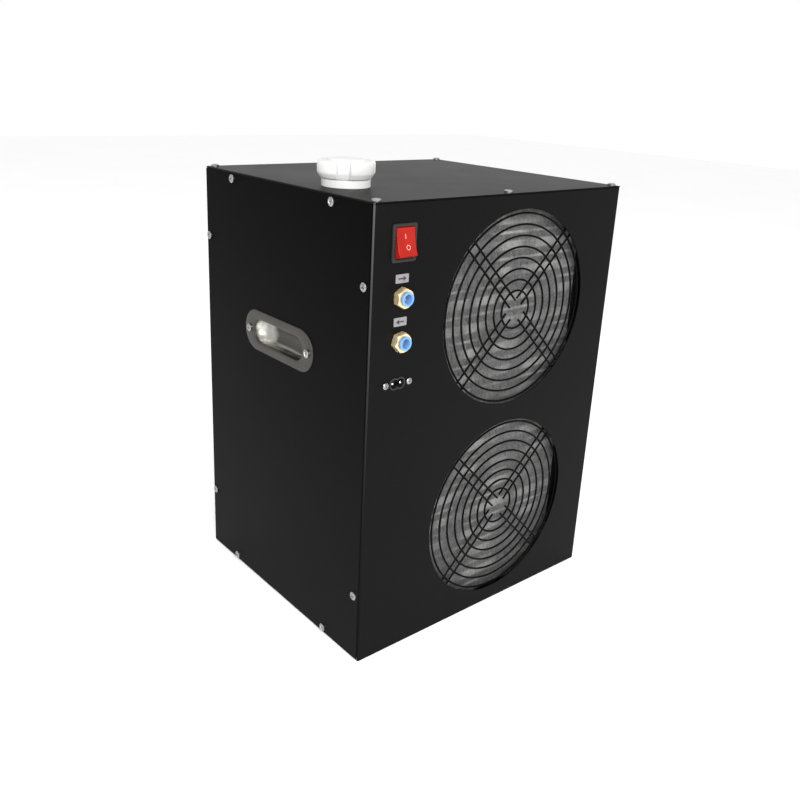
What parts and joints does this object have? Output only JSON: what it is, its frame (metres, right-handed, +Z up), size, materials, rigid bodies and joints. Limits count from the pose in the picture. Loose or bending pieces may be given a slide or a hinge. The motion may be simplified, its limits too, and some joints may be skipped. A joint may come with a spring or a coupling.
{
  "type": "recirculating chiller",
  "caption": "Bench-top recirculating chiller: black sheet-metal box with wire-guarded fan openings, rocker switch, push-in water ports, flush side handles and a white filler cap.",
  "frame": {"origin": "centre of the base pan's underside, between the front and rear faces", "axes": "+Z up; the front with the fan openings faces -Y; +X is to the right seen from the front"},
  "size_m": [0.3268, 0.2848, 0.4542],
  "materials": {
    "black_panel": "satin black powder coat",
    "bright_screw": "bright zinc plate",
    "stainless": "pressed stainless, satin",
    "guard_wire": "black dipped wire",
    "fin_aluminium": "thin bare fins",
    "copper": "drawn copper tube",
    "galvanised": "zinc coated sheet",
    "fan_plastic": "moulded black",
    "bearing_steel": "ground",
    "socket_plastic": "moulded black, slightly glossy",
    "pin_metal": "nickel plated",
    "red_rocker": "glossy tinted red",
    "port_brass": "turned brass",
    "collet_blue": "moulded blue",
    "label_plate": "plain printed film",
    "tank_plastic": "natural blow moulding",
    "cap_white": "moulded white",
    "liner_rubber": "soft black",
    "pump_plastic": "moulded black",
    "compressor_paint": "gloss black",
    "hose": "clear silicone",
    "case_metal": "perforated case, plain"
  },
  "bodies": {
    "chassis": {"base_pan": "black_panel", "capillary_pipe": "copper", "coil_end_plate_left": "galvanised", "coil_end_plate_right": "galvanised", "compressor": "compressor_paint", "compressor_grommets": "liner_rubber", "condenser_coil": "copper", "condenser_fins": "fin_aluminium", "cover_screws_left": "bright_screw", "cover_screws_right": "bright_screw", "discharge_pipe": "copper", "evaporator_coil": "copper", "fan_bearings": "bearing_steel", "fan_frame_lower": "fan_plastic", "fan_frame_upper": "fan_plastic", "fan_guard_lower": "guard_wire", "fan_guard_upper": "guard_wire", "fan_plate": "galvanised", "filter_drier": "copper", "flush_handle_left": "stainless", "flush_handle_right": "stainless", "front_panel": "black_panel", "guard_nuts": "bright_screw", "guard_studs": "bright_screw", "handle_nuts": "bright_screw", "handle_screws": "bright_screw", "inlet_nuts": "bright_screw", "inlet_pins": "pin_metal", "inlet_screws": "bright_screw", "liquid_pipe": "copper", "neck_collar": "cap_white", "port_body_lower": "port_brass", "port_body_upper": "port_brass", "port_labels": "label_plate", "port_nuts": "port_brass", "power_inlet": "socket_plastic", "power_supply": "case_metal", "pump_body": "pump_plastic", "pump_cover": "pump_plastic", "rear_panel": "black_panel", "return_hose": "hose", "side_cover_left": "black_panel", "side_cover_right": "black_panel", "suction_hose": "hose", "suction_pipe": "copper", "supply_hose": "hose", "switch_housing": "socket_plastic", "tank_lid": "tank_plastic", "tank_stand": "galvanised", "top_panel": "black_panel", "top_screws": "bright_screw", "water_tank": "tank_plastic"},
    "rocker": {"switch_rocker": "red_rocker"},
    "collet_upper": {"release_collet_upper": "collet_blue"},
    "collet_lower": {"release_collet_lower": "collet_blue"},
    "fan_upper": {"fan_rotor_upper": "fan_plastic"},
    "fan_lower": {"fan_rotor_lower": "fan_plastic"},
    "impeller": {"pump_impeller": "pump_plastic"},
    "liner": {"cap_liner": "liner_rubber"},
    "cap": {"filler_cap": "cap_white"}
  },
  "joints": [
    {"name": "rocker_tilt", "type": "hinge", "parent": "chassis", "child": "rocker", "pos_m": [-0.1266, -0.1371, 0.396], "axis": [1, 0, 0], "range_deg": [0, 26]},
    {"name": "collet_press_upper", "type": "slide", "parent": "chassis", "child": "collet_upper", "axis": [0, 1, 0], "range_m": [0, 0.0012], "stiffness_N_per_m": 500},
    {"name": "collet_press_lower", "type": "slide", "parent": "chassis", "child": "collet_lower", "axis": [0, 1, 0], "range_m": [0, 0.0012], "stiffness_N_per_m": 500},
    {"name": "fan_spin_upper", "type": "hinge", "parent": "chassis", "child": "fan_upper", "pos_m": [0.019, -0.0603, 0.32], "axis": [0, 1, 0], "continuous": true},
    {"name": "fan_spin_lower", "type": "hinge", "parent": "chassis", "child": "fan_lower", "pos_m": [0.019, -0.0603, 0.11], "axis": [0, 1, 0], "continuous": true},
    {"name": "pump_spin", "type": "hinge", "parent": "chassis", "child": "impeller", "pos_m": [-0.118, -0.02, 0.05], "axis": [0, 0, 1], "continuous": true},
    {"name": "cap_rise", "type": "slide", "parent": "chassis", "child": "liner", "axis": [0, 0, 1], "range_m": [0, 0.008]},
    {"name": "cap_turn", "type": "hinge", "parent": "liner", "child": "cap", "pos_m": [-0.118, -0.045, 0.44], "axis": [0, 0, 1], "range_deg": [0, 720]}
  ],
  "couplings": [
    {"joint": "cap_rise", "follows": "cap_turn", "m_per_rad": 0.0006366}
  ]
}
